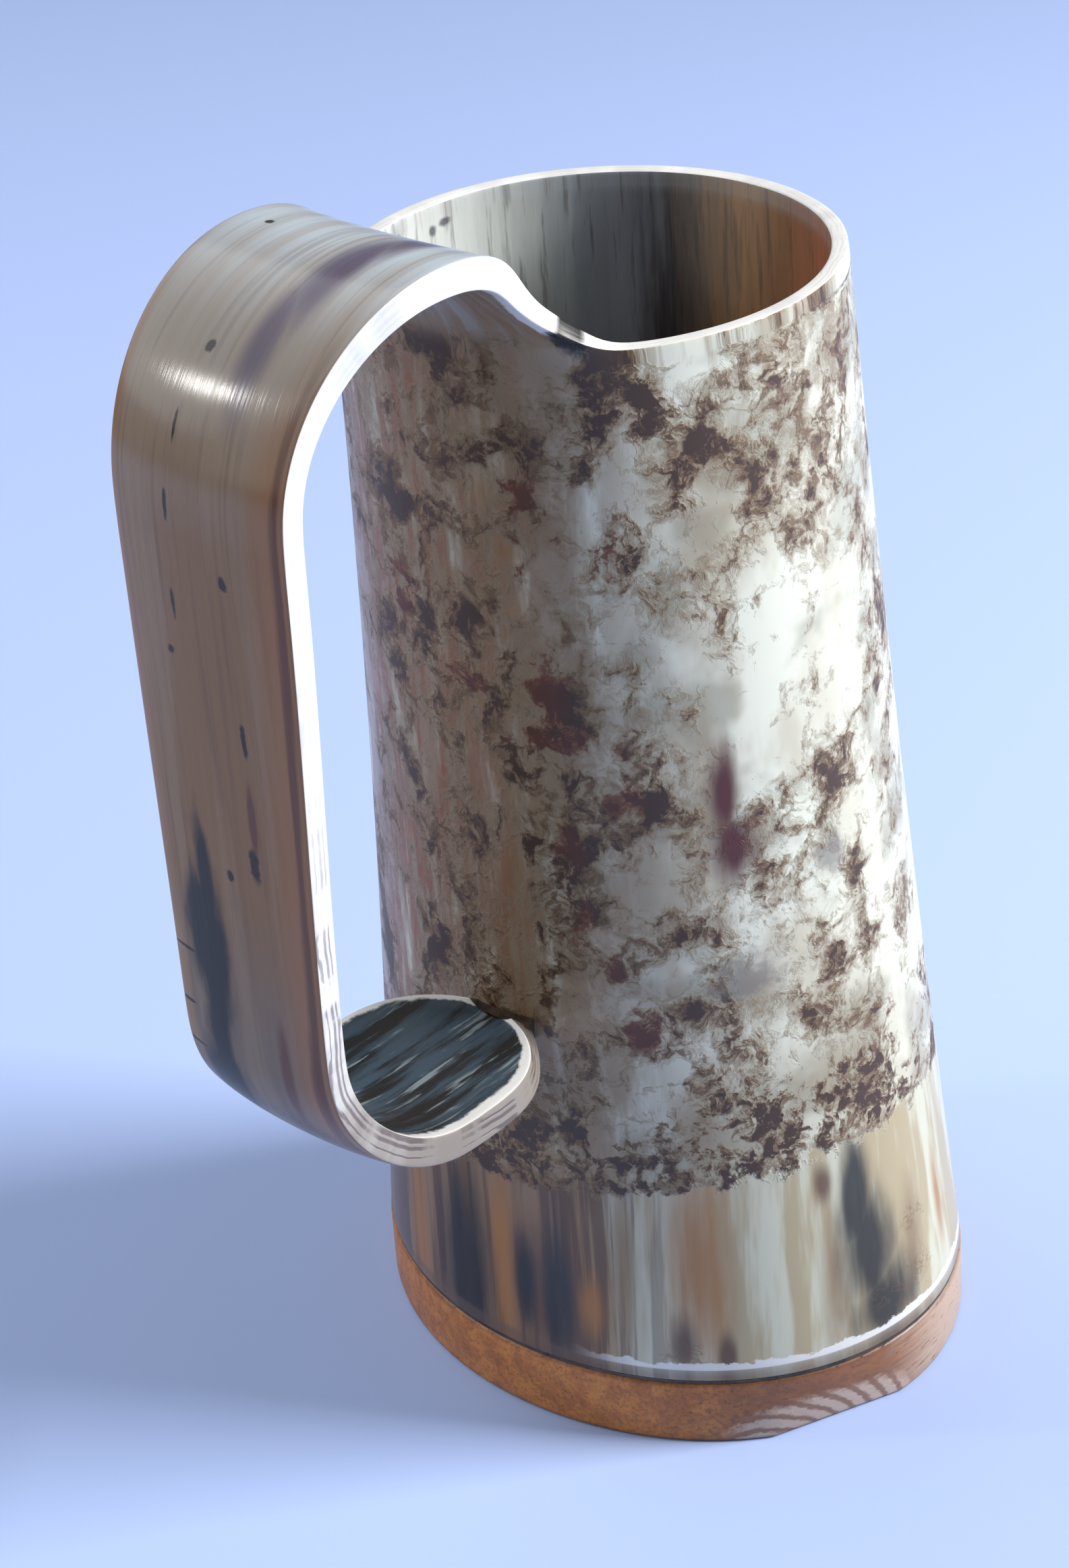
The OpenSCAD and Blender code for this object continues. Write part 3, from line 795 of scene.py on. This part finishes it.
bpy.ops.transform.translate(value=(horn_middle(plug_top), 0, 0))
bpy.ops.mesh.extrude_region_move(TRANSFORM_OT_translate={"value": (0, 0, plug_top - lip_top)})

flat_turn = math.radians(-114)
flat_tilt = math.radians(16)
flat_depth = 0.0016
flat_out = Vector((math.cos(flat_turn), math.sin(flat_turn), 0))
flat_point = Vector((horn_top[0] * flat_out.x, horn_top[1] * flat_out.y, 0)) - flat_out * flat_depth
flat_normal = flat_out * math.cos(flat_tilt) - Vector((0, 0, math.sin(flat_tilt)))
bpy.ops.mesh.select_all(action="SELECT")
bpy.ops.mesh.bisect(plane_co=flat_point, plane_no=flat_normal, use_fill=True, clear_outer=True)
bpy.ops.mesh.select_all(action="SELECT")
bpy.ops.mesh.normals_make_consistent(inside=False)
bpy.ops.object.mode_set(mode="OBJECT")
ease_edges = foot.modifiers.new("eased edges", "BEVEL")
ease_edges.width = softened_edge
ease_edges.segments = 3
ease_edges.limit_method = "ANGLE"
ease_edges.angle_limit = math.radians(40)
bpy.ops.object.modifier_apply(modifier="eased edges")
bpy.ops.object.shade_smooth_by_angle(angle=math.radians(35))
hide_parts("wooden_foot")
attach(foot, "root")


def object_places(tree):
    """Object coordinates in millimetres."""
    place = add_node(tree, "ShaderNodeTexCoord").outputs["Object"]
    return add_node(tree, "ShaderNodeVectorMath", {0: place, 1: (1000, 1000, 1000)},
                    operation="MULTIPLY").outputs[0]


oiled_wood = bpy.data.materials.new("oiled wood")
oiled_wood.use_nodes = True
foot.data.materials.append(oiled_wood)
tree = oiled_wood.node_tree
place = object_places(tree)
parts = add_node(tree, "ShaderNodeSeparateXYZ", {0: place}).outputs
level_grain = add_node(tree, "ShaderNodeCombineXYZ",
                       {"X": parts["Z"], "Y": parts["Y"], "Z": parts["X"]}).outputs[0]
year_bands = place_streaks(tree, level_grain, 3.2, 60.0)
fibres = place_streaks(tree, level_grain, 0.7, 16.0, 9.0)
pores = soft_step(tree, place_streaks(tree, level_grain, 0.35, 4.0, 21.0), 0.60, 0.70)
wood_colour = stain(tree, soft_step(tree, year_bands, 0.36, 0.64),
                    (0.58, 0.22, 0.045, 1), (0.40, 0.135, 0.028, 1))
wood_colour = stain(tree, times(tree, soft_step(tree, fibres, 0.45, 0.65), 0.5), wood_colour,
                    (0.20, 0.08, 0.038, 1))
towards_front = maths(tree, "MULTIPLY_ADD", parts["X"], 0.66, times(tree, parts["Y"], -0.75))
middle = soft_step(tree, maths(tree, "MULTIPLY_ADD", fibres, 10.0, towards_front), 2.0, 20.0)
wood_colour = stain(tree, times(tree, middle, 0.70), wood_colour, (0.125, 0.062, 0.040, 1))
# Paler on the side that faces the window lamp: painted light.
painted_light_towards_lamp = soft_step(tree, maths(tree, "MULTIPLY_ADD", fibres, 12.0, towards_front), 34.0, 46.0)
wood_colour = stain(tree, times(tree, painted_light_towards_lamp, 0.75), wood_colour, (0.55, 0.42, 0.32, 1))
wood_colour = stain(tree, times(tree, pores, 0.6), wood_colour, (0.05, 0.022, 0.012, 1))
flat_place = Vector((horn_top[0] * flat_out.x, horn_top[1] * flat_out.y, 0.001)) - flat_out * flat_depth / 2
ring_middle = flat_place * 1000 + Vector((-9, 5, -9))
ring_place = add_node(tree, "ShaderNodeVectorMath", {0: place, 1: ring_middle},
                      operation="DISTANCE").outputs["Value"]
end_grain = maths(tree, "SINE", maths(tree, "MULTIPLY_ADD", fibres, 3.0, times(tree, ring_place, 2.6)))
flat_mask = place_marks(tree, place, fibres, 0.4, 0.3, [(flat_place, 33, 12)])
flat_colour = stain(tree, soft_step(tree, end_grain, -0.1, 0.9), (0.58, 0.46, 0.37, 1), (0.25, 0.15, 0.10, 1))
wood_colour = stain(tree, times(tree, flat_mask, 0.8), wood_colour, flat_colour)
# Darker along the top of the lip under the horn and along its bottom.
darker_under_horn = soft_step(tree, parts["Z"], 9.6, 10.4)
darker_at_table = soft_step(tree, parts["Z"], 1.0, 0.2)
darker_lip_edges = times(tree, maths(tree, "MAXIMUM", darker_under_horn, darker_at_table), 0.45)
wood_colour = stain(tree, darker_lip_edges, wood_colour, (0.07, 0.032, 0.02, 1))
wood_relief = maths(tree, "SUBTRACT", fibres, pores)
finish_surface(tree, wood_colour, maths(tree, "MULTIPLY_ADD", pores, 0.25, 0.42), wood_relief, 0.00015, 0.5)


# ---- Resin beds ----
# Dark resin fills the joint between the wood and the horn, and a dab of it holds the tab to the cup. Both
# were wiped while wet, so they are smooth, with dust and small bubbles in them.

resin = bpy.data.materials.new("dark resin")
resin.use_nodes = True
tree = resin.node_tree
place = object_places(tree)
cloudy = clouds(tree, place, 3.0, detail=4.0)
bubbles = soft_step(tree, clouds(tree, place, 0.5, detail=2.0, shift=5.0), 0.60, 0.70)
colour = stain(tree, soft_step(tree, cloudy, 0.35, 0.65), (0.030, 0.019, 0.013, 1), (0.075, 0.045, 0.028, 1))
finish_surface(tree, colour, maths(tree, "MULTIPLY_ADD", cloudy, 0.3, 0.15), bubbles, 0.0001, 0.6, sunk=True)
for bed_name in ("foot_bond", "tab_bond"):
    for slot in bpy.data.objects[bed_name].material_slots:
        slot.material = resin
